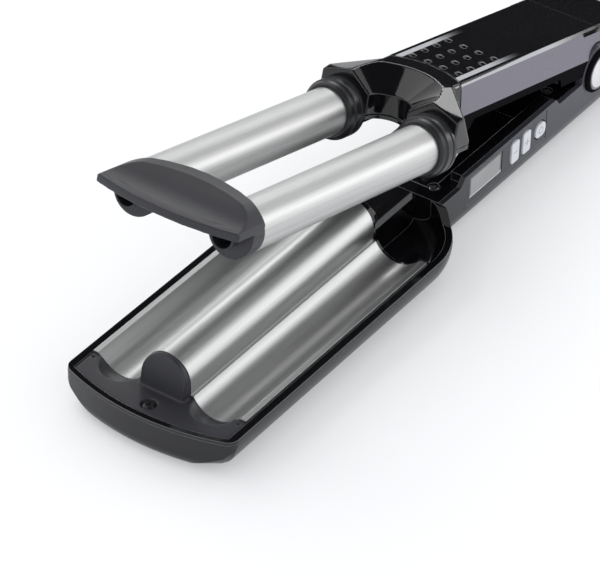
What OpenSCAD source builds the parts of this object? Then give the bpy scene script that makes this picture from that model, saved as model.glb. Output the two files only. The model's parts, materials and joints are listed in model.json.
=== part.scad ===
// Hair waver: a two-arm hot tool. The lower arm holds a double-grooved heated plate,
// the upper arm two heated barrels that close into the grooves.
// +Y runs from the tip to the cord end, +X to the side with the controls, +Z up.
// The origin is on the surface it lies on, under the middle of its length.
// The upper arm is drawn closed and then swung open about the hinge axis.

/* [Barrels] */
// Outer diameter of a barrel
barrel_d = 19; // [17:0.5:20]
// Distance between the two barrel axes
barrel_pitch = 41.7; // [40:0.1:44]
// Length of barrel that shows, from tip plug to ferrule
barrel_len = 117; // [100:1:125]
// Wall of a barrel tube
barrel_wall = 1.2; // [1:0.1:1.6]
// Room left for hair between a barrel and its groove
hair_gap = 1.4; // [1:0.1:1.8]

/* [Plate] */
// Length of the grooved plate
plate_len = 117.3; // [100:0.1:125]
// Thickness of the grooved plate
plate_t = 1.8; // [1.2:0.1:2.2]
// Margin between the plate's lips and the tray's sides
rim_margin = 3.6; // [3.2:0.1:4]
// Height of the plate's lips above the ground
lip_z = 17; // [16.4:0.1:17.6]

/* [Jaw] */
// Opening angle at rest
jaw_open = 15; // [10:0.5:20]
// Height of the barrel axes and the hinge axis when closed
jaw_z = 22; // [21.5:0.1:23]
// Place of the hinge axis along the tool
hinge_y = 123; // [118:1:130]
// Distance from the hinge axis forward to the plate's rear edge
jaw_reach = 144.7; // [142:0.1:150]
// Radius of the hinge pin
pin_r = 4; // [3:0.1:4.5]
// Radius of the lower arm's round ears
ear_r = 11; // [10:0.1:12]

/* [Tray] */
// Half width of the tray
tray_half_w = 38; // [37.5:0.1:40]
// Height of the tray's rim
rim_z = 16.2; // [15.8:0.1:16.6]
// Radius of the long edges under the tray
tray_edge_r = 14.5; // [9:0.5:14.5]
// Radius of the front edge under the tray
front_edge_r = 6; // [5:0.5:9]
// Radius of the tray's bowed front in plan
front_bow_r = 100; // [80:5:140]
// Radius of the tray's front corners in plan
front_corner_r = 5; // [3:0.5:7]
// Radius of the tray's rear corners in plan
rear_corner_r = 32; // [28:0.5:34]
// Length of the cap in front of the plate
cap_len = 20; // [17:0.5:24]
// Wall of the lower housing
wall = 2.2; // [1.8:0.1:2.4]

/* [Handles] */
// Half width of both handles
handle_half_w = 21.5; // [21:0.1:23]
// Radius of the long edges under the lower handle
handle_edge_r = 8.6; // [6:0.1:10]
// Top of the lower handle's side walls
side_z = 20.6; // [20:0.1:21]
// Height of the upper handle's flat top when closed
top_z = 39.5; // [38:0.1:41]
// Half width of the upper handle's flat top
top_half_w = 16.2; // [14:0.1:17]
// Height where the upper handle's slanted side ends
slant_z = 28.2; // [26:0.1:30]
// Wall of the upper housing
upper_wall = 2; // [1.6:0.1:2.4]
// Gap between the two handles when closed
parting_gap = 0.7; // [0.4:0.1:1]
// Length of the lower handle behind the hinge axis
tail_len = 28; // [26:0.5:32]
// Height of the block that closes the lower handle's rear end
tail_z = 31; // [26:0.5:33]

/* [Controls] */
// Top of the side wall beside the controls
panel_z = 24.2; // [23.6:0.1:24.6]
// Width of a rocker-shaped button
key_w = 6.6; // [5.5:0.1:7.2]
// Height of a rocker-shaped button
key_h = 11.6; // [9:0.1:11.8]
// Diameter of the power button
power_d = 8.6; // [7:0.1:9.4]
// How far the buttons stand proud
key_proud = 0.7; // [0.5:0.1:1.2]
// Travel of a button
key_travel = 0.4; // [0.2:0.05:0.45]
// Clearance around a button
key_gap = 0.15; // [0.1:0.05:0.25]
// Length of the display window
window_l = 23.5; // [20:0.5:24]
// Height of the display window
window_h = 10.4; // [8:0.1:10.8]

/* [Grip] */
// Distance between raised dots across the handle
dot_pitch_x = 7.1; // [6:0.1:8]
// Distance between rows of dots
dot_pitch_y = 8.9; // [7:0.1:9.5]
// Height of a dot
dot_h = 0.7; // [0.5:0.1:1]

/* [Cord inlet] */
// Radius of the hole for the cord
cord_r = 3.2; // [2.5:0.1:3.8]
// How far the swivelling gland stands out at the rear
gland_len = 8; // [5:0.5:12]

/* [Hidden] */
$fn = 96;

fit = 0.15;                                   // gap between pieces that are placed together
run_gap = 0.04;                               // radial gap of the hinge pin in the upper ears
swing_gap = 0.5;                              // gap between pieces that pass each other
over = 1;                                     // how far a cut runs past a face
far = 60;                                     // larger than any piece is wide or high
neck_r = 6;                                   // fillet between tray and handle, in plan
corner_cut_r = 16;                            // radius of the cuts under the front corners

// barrels and grooves
barrel_r = barrel_d / 2;
barrel_x = barrel_pitch / 2;
groove_r = barrel_r + hair_gap;
crest_r = barrel_x - groove_r;
crest_z = jaw_z + crest_r;
flare_a = 38;                                 // where a groove's outer side leaves its circle
ferrule_len = 9;
ferrule_r = barrel_r + 2.6;

// places along the tool
plate_rear = hinge_y - jaw_reach;
plate_front = plate_rear - plate_len;
tray_front = plate_front - cap_len;
bow_y = tray_front + front_bow_r;             // centre of the bowed front
rear_cx = tray_half_w - rear_corner_r;        // centre of a rear corner
rear_cy = plate_rear + 3.4;
ferrule_front = plate_rear + 6.1;
collar_front = ferrule_front + ferrule_len;
barrel_front = ferrule_front - barrel_len;
tail_end = hinge_y + tail_len;
tail_corner_r = 12;
handle_start = rear_cy + 8;                   // inside the tray, where the handle's walls begin
cover_front = rear_cy + rear_corner_r - 4.5;
cover_rear = hinge_y - 17;

// heights
plate_half_w = tray_half_w - rim_margin;      // half width of the plate at its lips
lip_room = plate_half_w + 0.3;                // half width of the frame's opening
skirt_z = lip_z - plate_t - 1;                // where the plate's short side skirts end
ramp_y = plate_rear + 25.2;                   // where the frame's rim starts to climb
frame_t = 1.3;                                // flange of the tray frame
tray_wall_z = rim_z - frame_t;
cover_z = side_z - 0.2;
cover_t = 1.8;
floor_z = wall;
liner_z = side_z + parting_gap;

// hinge
top_r = top_z - jaw_z;                        // the upper handle's rounded rear end
ear_in = handle_half_w - 3.4;                 // inner faces of the lower ears
cheek_out = ear_in - 0.4;                     // outer faces of the upper ears
cheek_in = 12.5;
cheek_r = ear_r - 0.5;
hinge_cap_r = ear_r - 1.4;

// controls, from the panel's front end to its rear end
panel_front = hinge_y - 98;
panel_rear = hinge_y - 31.5;
bezel_front = panel_front + 2;
bezel_rear = hinge_y - 38;
bezel_z0 = 9.4;
bezel_z1 = panel_z - 0.9;
bezel_t = 1.1;
window_y = bezel_front + 1.5;
window_z = 11.8;
key_z = 16.5;
minus_y = hinge_y - 62.1;
plus_y = hinge_y - 53.6;
power_y = hinge_y - 43.3;
pod_x = 14.4;                                 // inner side of the raised pod behind the panel
pod_z = panel_z - 0.1;
board_x = 15.8;
board_t = 1.2;
wall_in = handle_half_w - wall;               // inner face of the lower handle's side wall

// ---------------------------------------------------------------- placing helpers
module yslab(y0, y1) translate([0, y1, 0]) rotate([90, 0, 0]) linear_extrude(y1 - y0) children();
module xslab(x0, x1) translate([x0, 0, 0]) rotate([90, 0, 90]) linear_extrude(x1 - x0) children();
module zslab(z0, z1) translate([0, 0, z0]) linear_extrude(z1 - z0) children();
module xcyl(r, x0, x1) translate([x0, 0, 0]) rotate([0, 90, 0]) cylinder(r = r, h = x1 - x0);
module ycyl(r, y0, y1) translate([0, y0, 0]) rotate([-90, 0, 0]) cylinder(r = r, h = y1 - y0);
module both() {
    children();
    mirror([1, 0, 0]) children();
}
module at_hinge() translate([0, hinge_y, jaw_z]) children();
module opened() at_hinge() rotate([-jaw_open, 0, 0]) translate([0, -hinge_y, -jaw_z]) children();
module rounded_rect(w, h, r) {
    translate([-w / 2 + r, -h / 2]) square([w - 2 * r, h]);
    translate([-w / 2, -h / 2 + r]) square([w, h - 2 * r]);
    for (sx = [-1, 1], sy = [-1, 1]) translate([sx * (w / 2 - r), sy * (h / 2 - r)]) circle(r);
}
// a pan-head screw along +Z, head up, its head's seat at z = 0
module screw(r, head_r, len) {
    difference() {
        rotate_extrude() polygon([[0, -len], [r * 0.6, -len], [r, -len + r], [r, 0], [head_r, 0],
            [head_r, r * 0.5], [head_r * 0.7, r * 0.95], [0, r * 0.95]]);
        for (a = [0, 90]) rotate([0, 0, a]) translate([-head_r * 0.55, -r * 0.16, r * 0.35])
            cube([head_r * 1.1, r * 0.32, r]);
    }
}

// ---------------------------------------------------------------- tub forms of the lower arm
// half section of a tub: w wide from the middle, bottom at b, edge radius r, top at t
module tub_half(w, b, r, t) {
    translate([0, b]) square([w - r, t - b]);
    translate([0, b + r]) square([w, t - b - r]);
    intersection() {
        translate([w - r, b + r]) circle(r);
        translate([0, b]) square([w, t - b]);
    }
}
module tub_section(w, b, r, t) {
    translate([-w + r, b]) square([2 * (w - r), t - b]);
    translate([-w, b + r]) square([2 * w, t - b - r]);
    intersection() {
        for (s = [-1, 1]) translate([s * (w - r), b + r]) circle(r);
        translate([-w, b]) square([2 * w, t - b]);
    }
}
// a quarter turn of the half section about a corner centre
module tub_corner(r_out, b, r, t) rotate_extrude(angle = 90) intersection() {
    tub_half(r_out, b, r, t);
    translate([0, b]) square([r_out, t - b]);
}
// plan of the tray's front part, set in by i
module tray_front_plan(i) {
    w = tray_half_w - i;
    cr = front_corner_r - min(i, front_corner_r - 0.5);
    ccx = w - cr;
    reach = front_bow_r - i - cr;
    ccy = bow_y - sqrt(reach * reach - ccx * ccx);
    k = (front_bow_r - i) / reach;
    difference() {
        intersection() {
            translate([-w, tray_front]) square([2 * w, rear_cy - tray_front]);
            translate([0, bow_y]) circle(front_bow_r - i, $fn = 240);
        }
        for (s = [-1, 1]) difference() {
            polygon([[s * ccx, ccy], [s * (w + over), ccy], [s * (w + over), tray_front - over],
                [s * ccx * (k + 0.02), bow_y + (ccy - bow_y) * (k + 0.02)]]);
            translate([s * ccx, ccy]) circle(cr);
        }
    }
}
// slanting cuts that round the tray's two lower front corners, for a tub set in by i
module front_corner_cuts(i) {
    w = tray_half_w - i;
    cr = front_corner_r - min(i, front_corner_r - 0.5);
    ccx = w - cr;
    reach = front_bow_r - i - cr;
    ccy = bow_y - sqrt(reach * reach - ccx * ccx);
    r = corner_cut_r - i;
    for (a = [14, 33, 54]) translate([ccx, ccy, 0]) rotate([0, 0, -a])
        translate([cr + 0.6 + max(0, a - 33) * 0.04, 0, 0]) yslab(-far, far) difference() {
            translate([-r, i - over]) square([r + far, r + over - 0.5]);
            translate([-r, i + r - 0.5]) circle(r);
        }
}
// whole plan of the tray, set in by i
module tray_plan(i) {
    tray_front_plan(i);
    for (s = [-1, 1]) translate([s * rear_cx, rear_cy]) intersection() {
        circle(rear_corner_r - i);
        translate([s > 0 ? -rear_cx : -rear_corner_r, -0.01]) square([rear_corner_r + rear_cx, far]);
    }
    translate([-rear_cx, rear_cy - 0.01]) square([2 * rear_cx, rear_corner_r - i + 0.01]);
}
// the tray as a rounded solid, set in by i all round, up to height t
module tray_tub(i, t) {
    difference() {
        intersection() {
            yslab(tray_front - over, rear_cy) tub_section(tray_half_w - i, i, tray_edge_r - i, t);
            translate([0, bow_y, 0]) rotate_extrude($fn = 240)
                intersection() {
                    tub_half(front_bow_r - i, i, front_edge_r - i, t + over);
                    square([front_bow_r, t + over]);
                }
            zslab(i, t) tray_front_plan(i);
        }
        both() front_corner_cuts(i);
    }
    both() translate([rear_cx, rear_cy, 0]) tub_corner(rear_corner_r - i, i, tray_edge_r - i, t);
    xslab(-rear_cx, rear_cx) translate([rear_cy, 0]) tub_half(rear_corner_r - i, i, tray_edge_r - i, t);
}
// the lower handle as a rounded solid, set in by i
module handle_tub(i, y0, t) {
    w = handle_half_w - i;
    cr = tail_corner_r - i;
    cy = tail_end - tail_corner_r;
    yslab(y0, cy) tub_section(w, i, handle_edge_r - i, t);
    both() translate([w - cr, cy, 0]) tub_corner(cr, i, handle_edge_r - i, t);
    xslab(-w + cr, w - cr) translate([cy, 0]) tub_half(cr, i, handle_edge_r - i, t);
}

// ---------------------------------------------------------------- lower arm
module tail_block() {
    difference() {
        intersection() {
            handle_tub(0, hinge_y + 4, tail_z);
            xslab(-far, far) difference() {
                square([far * 4, tail_z]);
                difference() {
                    translate([tail_end - 9, tail_z - 9]) square(10);
                    translate([tail_end - 9, tail_z - 9]) circle(9);
                }
            }
        }
        at_hinge() xcyl(top_r + swing_gap, -far, far);
    }
}
module key_slot(w, h) {
    for (s = [-1, 1]) translate([0, s * (h - w) / 2]) circle(w / 2);
    translate([-w / 2, -(h - w) / 2]) square([w, h - w]);
}
// runs the children through the panel wall at each button; grow widens the outline
module through_keys(x0, x1, grow) {
    for (y = [minus_y, plus_y]) xslab(x0, x1) translate([y, key_z])
        key_slot(key_w + 2 * grow, key_h + 2 * grow);
    xslab(x0, x1) translate([power_y, key_z]) circle(power_d / 2 + grow);
}
// plan of the fillet between the tray's rear corner and the handle's side
module neck_plan() {
    nx = handle_half_w + neck_r;
    ny = rear_cy + sqrt(pow(rear_corner_r + neck_r, 2) - pow(nx - rear_cx, 2));
    k = rear_corner_r / (rear_corner_r + neck_r);
    difference() {
        polygon([[handle_half_w - over, ny], [nx, ny], [rear_cx + (nx - rear_cx) * k,
            rear_cy + (ny - rear_cy) * k], [rear_cx + (nx - rear_cx) * k - over,
            rear_cy + (ny - rear_cy) * k - 2 * over], [handle_half_w - over, rear_cy + rear_corner_r - 6]]);
        translate([nx, ny]) circle(neck_r);
    }
}
module lower_screw_posts(r, z0, z1)
    for (s = [-1, 1], y = [panel_front - 8, cover_rear - 6])
        translate([s * 12, y, z0]) cylinder(r = r, h = z1 - z0);

module plate_posts(r, z0, z1)
    for (s = [-1, 1], y = [plate_front + 12, plate_rear - 12])
        translate([s * (plate_half_w - 1.4), y, z0]) cylinder(r = r, h = z1 - z0);
module lower_housing() color([0.19, 0.19, 0.21]) {
    gland_z = 13;
    difference() {
        union() {
            tray_tub(0, tray_wall_z);
            handle_tub(0, handle_start, side_z);
            // raised side wall beside the controls, with sloped ends
            intersection() {
                xslab(wall_in - 0.2, handle_half_w) polygon([[panel_front - 3, side_z - 3],
                    [panel_front - 3, side_z], [panel_front, panel_z], [panel_rear, panel_z],
                    [panel_rear + 3, side_z], [panel_rear + 3, side_z - 3]]);
            }
            both() at_hinge() xcyl(ear_r, ear_in, handle_half_w);
            tail_block();
            both() zslab(handle_edge_r, tray_wall_z) neck_plan();
        }
        tray_tub(wall, far);
        difference() {
            handle_tub(wall, handle_start - over, far);
            // the ears and the tail stay solid
            both() translate([ear_in, hinge_y - ear_r, 0]) cube([far, 2 * ear_r, far]);
            translate([-far, hinge_y + top_r - 1, 0]) cube([2 * far, far, far]);
        }
        // the side walls rise behind the tray's frame
        translate([-far, rear_cy, tray_wall_z]) cube([2 * far, cover_front - fit - rear_cy, far]);
        at_hinge() xcyl(pin_r, -far, far);
        // pocket for each hinge cap's plug
        both() at_hinge() xcyl(hinge_cap_r - 2, handle_half_w - 1.2, far);
        // panel: shallow seat for the bezel, then the window and the button holes
        xslab(handle_half_w - bezel_t, far) translate([bezel_front, bezel_z0])
            square([bezel_rear - bezel_front, bezel_z1 - bezel_z0]);
        xslab(wall_in - 2, far) translate([window_y, window_z]) square([window_l, window_h]);
        through_keys(wall_in - 2, handle_half_w, key_gap + 0.6);
        // cord swivel's seat
        translate([0, 0, gland_z]) ycyl(6.5 + fit, hinge_y + top_r - 2, far + tail_end);
        translate([0, 0, gland_z]) ycyl(8.5, hinge_y + top_r - 2, hinge_y + top_r + 4);
    }
    // floor posts for the cover's screws
    difference() {
        lower_screw_posts(3, wall - 0.2, cover_z - cover_t - fit);
        lower_screw_posts(1, wall + 2, far);
    }
    // floor posts that carry the plate
    difference() {
        plate_posts(1.4, wall + 2.9, skirt_z);
        plate_posts(0.8, wall + 5, far);
    }
}

// outline under the wave surface, set in by i
module wave_under(i) {
    tx = barrel_x + (groove_r + i) * sin(flare_a);
    tz = jaw_z - (groove_r + i) * cos(flare_a);
    lz = lip_z - i;
    ex = tx + (lz - tz) / tan(flare_a);
    difference() {
        union() {
            translate([-plate_half_w + i, 0]) square([2 * (plate_half_w - i), lz]);
            translate([-crest_r + i, 0]) square([2 * (crest_r - i), jaw_z]);
            translate([0, jaw_z]) circle(crest_r - i);
        }
        for (s = [-1, 1]) {
            translate([s * barrel_x, jaw_z]) circle(groove_r + i);
            polygon([[s * barrel_x, jaw_z], [s * tx, tz], [s * ex, lz], [s * ex, lz + far],
                [s * barrel_x, lz + far]]);
        }
    }
}
module wave_plate() color([0.72, 0.74, 0.74])
    yslab(plate_front, plate_rear) difference() {
        wave_under(0);
        wave_under(plate_t);
        translate([-far, -far]) square([2 * far, far + 6]);
        // the lips end level with their underside
        for (s = [-1, 1]) translate([s > 0 ? plate_half_w - 4 : -plate_half_w - over, 0])
            square([4 + over, skirt_z]);
    }

module frame_opening(i) intersection() {
    tray_plan(wall + 0.3 + i);
    translate([-lip_room + i, tray_front]) square([2 * (lip_room - i), rear_cy + rear_corner_r - tray_front]);
}
module crest_plan(i) {
    translate([0, jaw_z]) circle(crest_r - i);
    translate([-crest_r + i, rim_z - 2]) square([2 * (crest_r - i), jaw_z - rim_z + 2]);
}
module tray_frame() color([0.05, 0.05, 0.06]) {
    pocket_r = rear_corner_r - 3;
    pocket_z = 6.5;
    ridge = crest_r - 1.4;
    y1 = cover_front - 0.3;
    difference() {
        union() {
            zslab(tray_wall_z, rim_z) tray_plan(fit);
            // the rim climbs at 45 degrees to the handle cover
            intersection() {
                zslab(rim_z - 1, cover_z) tray_plan(fit);
                xslab(-far, far) polygon([[ramp_y - 1, rim_z - 1], [ramp_y + cover_z - rim_z, cover_z],
                    [far, cover_z], [far, rim_z - 1]]);
            }
            // block that closes the crest's rear end, with a slanting face
            intersection() {
                yslab(plate_rear + fit, plate_rear + 10) crest_plan(fit);
                xslab(-far, far) polygon([[plate_rear, side_z - 2], [plate_rear, crest_z],
                    [plate_rear + 2, crest_z], [plate_rear + 5.5, side_z - 2]]);
            }
            // skirt inside the tray wall
            difference() {
                tray_tub(wall + fit + 0.1, tray_wall_z);
                translate([-far, -far * 4, 0]) cube([far * 2, far * 8, 4.7]);
            }
            // ridge between the two pockets, carried on from the crest of the plate
            translate([-ridge, plate_rear + fit, rim_z - 1])
                cube([2 * ridge, y1 - plate_rear - fit, side_z - rim_z + 1]);
        }
        // opening for the plate and the front cap
        difference() {
            zslab(0, far) frame_opening(0);
            translate([-far, plate_rear + fit, -over]) cube([2 * far, far * 2, far]);
        }
        // pockets for the ferrules: round bowls beside the ridge
        for (s = [-1, 1]) intersection() {
            translate([s * rear_cx, rear_cy, 0]) rotate_extrude() intersection() {
                tub_half(pocket_r, pocket_z, 7, far);
                square([pocket_r, far]);
            }
            translate([s > 0 ? ridge : -far, plate_rear + fit + 1.6, 0])
                cube([far - (s > 0 ? ridge : ridge), far, far]);
        }
        for (s = [-1, 1]) intersection() {
            yslab(plate_rear - over, plate_rear + 4) translate([s * barrel_x, jaw_z])
                circle(groove_r + 0.5);
            translate([s > 0 ? ridge : -far, plate_rear - over, 0]) cube([far - ridge, 10, far]);
        }
        // bevel along the ridge's two top edges
        for (s = [-1, 1]) translate([s * ridge, plate_rear - over, side_z]) rotate([0, 45, 0])
            translate([-1.1, 0, -1.1]) cube([2.2, far, 2.2]);
        // the rear end stops in front of the handle cover
        translate([-far, y1, 0]) cube([2 * far, far, far]);
    }
}

module lower_handle_cover() color([0.06, 0.06, 0.07]) {
    w = wall_in - fit;
    z0 = cover_z - cover_t;
    difference() {
        union() {
            translate([-w, cover_front, z0]) cube([2 * w, cover_rear - cover_front, cover_t]);
            // low raised field along the middle
            translate([-w + 5, cover_front + 6, cover_z - 0.1]) cube([2 * w - 12, 60, 0.4]);
            // pod over the display and the switches
            translate([pod_x, panel_front + 0.5, z0])
                cube([w - pod_x, panel_rear - panel_front - 1, pod_z - z0]);
            // lip that closes the tray's rear wall
            translate([-w + 3, cover_front, 9]) cube([2 * w - 6, 1.6, z0 - 9 + 0.1]);
        }
        translate([board_x - 0.3, panel_front + 1.7, 0])
            cube([far, panel_rear - panel_front - 3.4, pod_z - 1.1]);
        lower_screw_posts(1.3, 0, far);
        lower_screw_posts(2.4, cover_z - 1, far);
    }
}

module front_end_cap() color([0.24, 0.24, 0.26]) {
    cap_rear = plate_front - fit;
    base_z = rim_z - 0.1;
    difference() {
        union() {
            intersection() {
                union() {
                    zslab(10.2, base_z) frame_opening(fit);
                    zslab(9, 10.3) frame_opening(fit + 1.2);
                }
                translate([-far, tray_front, 0]) cube([2 * far, cap_rear - tray_front, far]);
            }
            // end of the crest, cut by a steep slant
            intersection() {
                yslab(plate_front - 10, cap_rear) union() {
                    translate([0, jaw_z]) circle(crest_r - 0.1);
                    translate([-crest_r + 0.1, 12]) square([2 * crest_r - 0.2, jaw_z - 12]);
                }
                xslab(-far, far) polygon([[plate_front + over, 10], [plate_front - 4.6, 10],
                    [plate_front - 4.6, base_z], [plate_front - 2.2, crest_z - 1.2],
                    [plate_front - 1.4, crest_z], [plate_front + over, crest_z + over]]);
            }
        }
        // the ends of the grooves run out as round dishes
        for (s = [-1, 1]) translate([s * barrel_x, plate_front, jaw_z]) sphere(groove_r - 0.1);
        // hollow underneath
        intersection() {
            zslab(0, 13.6) frame_opening(fit + 1.8);
            difference() {
                translate([-far, tray_front, 0]) cube([2 * far, cap_rear - tray_front - 1.5, far]);
                for (s = [-1, 1]) translate([s * barrel_x, plate_front, jaw_z])
                    sphere(groove_r + 1.6);
                translate([0, plate_front - 12, 0]) cylinder(r = 3.6, h = far);
            }
        }
        for (s = [-1, 1]) translate([s * 32.6, plate_front - 2.2, base_z - 0.8]) cylinder(r = 0.7, h = 2);
        translate([0, plate_front - 12, base_z - 1.3]) cylinder(r = 3, h = far);
        translate([0, plate_front - 12, 0]) cylinder(r = 1.4, h = far);
    }
}
module end_cap_screw() color([0.1, 0.1, 0.11])
    translate([0, plate_front - 12, rim_z - 1.4 + 0.02]) screw(1.25, 2.5, 9);

module plate_heaters() color([0.85, 0.82, 0.7])
    for (s = [-1, 1]) translate([s * barrel_x - 6, plate_front + 10, 6.55])
        cube([12, plate_len - 20, 2]);
module heater_insulator() color([0.8, 0.75, 0.6])
    for (s = [-1, 1]) translate([s * barrel_x - 7, plate_front + 8, 5.75])
        cube([14, plate_len - 16, 0.75]);
module heater_clamp() color([0.6, 0.6, 0.62])
    for (y = [plate_front + 14, plate_rear - 26]) difference() {
        translate([-barrel_x - 3.4, y, wall + 0.05]) cube([2 * barrel_x + 6.8, 12, 5.65 - wall]);
        for (s = [-1, 0, 1]) translate([s * barrel_x * 0.72 - 4, y - over, wall - over])
            cube([8, 14, 3]);
    }
module thermal_fuse() color([0.7, 0.6, 0.3])
    translate([0, plate_rear - 57.3, 0]) {
        translate([0, 0, wall + 3.05]) ycyl(3, -7, 7);
        translate([-4, -5, wall + 0.02]) difference() {
            cube([8, 10, 3]);
            translate([4, -over, 3.03]) rotate([-90, 0, 0]) cylinder(r = 3.05, h = 12);
        }
    }
module plate_sensor() color([0.3, 0.5, 0.3])
    translate([0, plate_rear - 32.3, wall + 0.02]) {
        translate([-2.5, -4, 0]) cube([5, 8, 2]);
        translate([-1.5, -3, 2]) cube([3, 6, 17]);
    }

module control_board() color([0.1, 0.35, 0.2]) {
    translate([board_x, panel_front + 3, 5]) cube([board_t, panel_rear - panel_front - 6, 17.4]);
    // power board flat on the floor, joined at the edge
    difference() {
        translate([-13, panel_front + 3, wall + 1.2])
            cube([26, panel_rear - panel_front - 6, 1.4]);
        lower_screw_posts(3.4, 0, far);
    }
    translate([-11, panel_front + 12, wall + 2.6]) cube([9, 14, 8]);
    translate([2, panel_front + 34, wall + 2.6]) cube([8, 8, 10]);
    // edge connector between the two boards
    translate([12.9, panel_front + 20, wall + 1.2]) cube([board_x - 12.8, 12, 4]);
    // feet
    for (s = [-1, 1], y = [panel_front + 8, panel_rear - 10]) translate([s * 9, y, wall + 0.02])
        cylinder(r = 2, h = 1.3);
}
module display_module() color([0.55, 0.6, 0.55])
    translate([board_x + board_t + 0.03, window_y - 1, window_z - 0.8])
        cube([wall_in - board_x - board_t - 0.08, window_l + 2, window_h + 1.1]);
module display_window() color([0.65, 0.66, 0.66]) {
    xslab(wall_in + fit, handle_half_w - 0.25) translate([window_y + 0.1, window_z + 0.1])
        square([window_l - 0.2, window_h - 0.2]);
}
module control_bezel() color([0.16, 0.16, 0.18]) difference() {
    xslab(handle_half_w - bezel_t + 0.02, handle_half_w + 0.05)
        translate([bezel_front + 0.1, bezel_z0 + 0.1])
        square([bezel_rear - bezel_front - 0.9, bezel_z1 - bezel_z0 - 0.2]);
    xslab(0, far) translate([window_y - 0.02, window_z - 0.02])
        square([window_l + 0.04, window_h + 0.04]);
    through_keys(0, far, key_gap);
}
module tact_switches() color([0.75, 0.75, 0.78])
    for (y = [minus_y, plus_y, power_y]) translate([board_x + board_t + 0.03, y, key_z]) {
        translate([0, -2.4, -2.4]) cube([1.2, 4.8, 4.8]);
        xcyl(1.2, 1.1, wall_in - board_x - board_t + 0.15);
    }
module key_body(y) {
    back = wall_in + key_travel + 0.45;
    front = handle_half_w + key_proud;
    xslab(back, front - 0.3) translate([y, key_z]) key_slot(key_w, key_h);
    xslab(front - 0.3, front) translate([y, key_z]) key_slot(key_w - 0.8, key_h - 0.8);
}
module button_minus() color([0.9, 0.9, 0.9]) difference() {
    key_body(minus_y);
    translate([handle_half_w + key_proud - 0.15, minus_y - 1.3, key_z - 0.3]) cube([1, 2.6, 0.6]);
}
module button_plus() color([0.9, 0.9, 0.9]) difference() {
    key_body(plus_y);
    translate([handle_half_w + key_proud - 0.15, plus_y - 1.3, key_z - 0.3]) cube([1, 2.6, 0.6]);
    translate([handle_half_w + key_proud - 0.15, plus_y - 0.3, key_z - 1.3]) cube([1, 0.6, 2.6]);
}
module button_power() color([0.92, 0.92, 0.92]) translate([0, power_y, key_z]) {
    back = wall_in + key_travel + 0.45;
    front = handle_half_w + key_proud;
    difference() {
        rotate([0, 90, 0]) rotate_extrude() polygon([[0, back], [power_d / 2, back],
            [power_d / 2, front - 0.5], [power_d / 2 - 0.6, front], [0, front]]);
        // ring mark pressed into the face
        translate([front - 0.15, 0, 0]) rotate([0, 90, 0]) difference() {
            cylinder(r = 1.9, h = 1);
            translate([0, 0, -over]) cylinder(r = 1.4, h = 3);
        }
    }
}

module hinge_pin() color([0.7, 0.7, 0.72]) at_hinge()
    xcyl(pin_r - 0.02, -handle_half_w + 1.4, handle_half_w - 1.4);
module hinge_cap() at_hinge() difference() {
    rotate([0, 90, 0]) rotate_extrude() polygon([[0, handle_half_w - 1.1],
        [hinge_cap_r - 2.1, handle_half_w - 1.1], [hinge_cap_r - 2.1, handle_half_w + 0.02],
        [hinge_cap_r, handle_half_w + 0.02], [hinge_cap_r, handle_half_w + 0.9],
        [hinge_cap_r - 0.7, handle_half_w + 1.6], [hinge_cap_r - 2, handle_half_w + 1.9],
        [0, handle_half_w + 2.2]]);
    // fine ring around the polished face
    translate([handle_half_w + 1.5, 0, 0]) rotate([0, 90, 0]) difference() {
        cylinder(r = hinge_cap_r - 1.5, h = 2);
        translate([0, 0, -over]) cylinder(r = hinge_cap_r - 1.9, h = 4);
    }
}
module hinge_cap_right() color([0.8, 0.8, 0.82]) hinge_cap();
module hinge_cap_left() color([0.8, 0.8, 0.82]) mirror([1, 0, 0]) hinge_cap();
module hinge_spring() color([0.6, 0.6, 0.62]) at_hinge() {
    wire = 0.8;
    coil_r = pin_r + 0.3 + wire;
    turns = 9;
    rotate([0, 90, 0]) difference() {
        union() {
            translate([0, 0, -turns * wire]) cylinder(r = coil_r, h = 2 * turns * wire);
            for (k = [0 : turns - 1]) translate([0, 0, (2 * k + 1 - turns) * wire])
                rotate_extrude() translate([coil_r, 0]) circle(wire * 0.98, $fn = 16);
        }
        translate([0, 0, -far]) cylinder(r = pin_r + 0.25, h = 2 * far);
    }
    // fixed leg runs down to the floor, working leg forward under the liner
    translate([-turns * wire + wire, -coil_r, 0]) rotate([168, 0, 0]) cylinder(r = wire, h = 19.6);
    translate([turns * wire - wire, 0, coil_r]) rotate([99.5, 0, 0]) cylinder(r = wire, h = 18.6);
}
module housing_screws() color([0.5, 0.5, 0.52])
    for (s = [-1, 1], y = [panel_front - 8, cover_rear - 6])
        translate([s * 12, y, cover_z - 1 + 0.02]) screw(0.95, 2.2, 8);
module gland_retainer() color([0.3, 0.3, 0.32]) translate([0, 0, 13]) difference() {
    ycyl(8.4, hinge_y + top_r - 0.7, hinge_y + top_r + 1.1);
    ycyl(5, hinge_y, far + tail_end);
}
module cord_swivel() color([0.08, 0.08, 0.09]) translate([0, tail_end, 13]) difference() {
    rotate([-90, 0, 0]) rotate_extrude() polygon([[0, -tail_len + top_r + 1.3],
        [8.2, -tail_len + top_r + 1.3], [8.2, -tail_len + top_r + 3.7],
        [6.5 + fit - run_gap, -tail_len + top_r + 3.7], [6.5 + fit - run_gap, 0.5], [7.6, 0.5],
        [7.6, 1.6], [6.2, gland_len - 1], [5.4, gland_len], [0, gland_len]]);
    ycyl(cord_r, -far, far);
}

// ---------------------------------------------------------------- upper arm, drawn closed
module upper_section(i) polygon([[-handle_half_w + i, liner_z - over], [-handle_half_w + i, slant_z],
    [-top_half_w - 1 + i * 0.8, top_z - 1.3 - i * 0.3], [-top_half_w + i * 0.7, top_z - i],
    [top_half_w - i * 0.7, top_z - i], [top_half_w + 1 - i * 0.8, top_z - 1.3 - i * 0.3],
    [handle_half_w - i, slant_z], [handle_half_w - i, liner_z - over]]);
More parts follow.
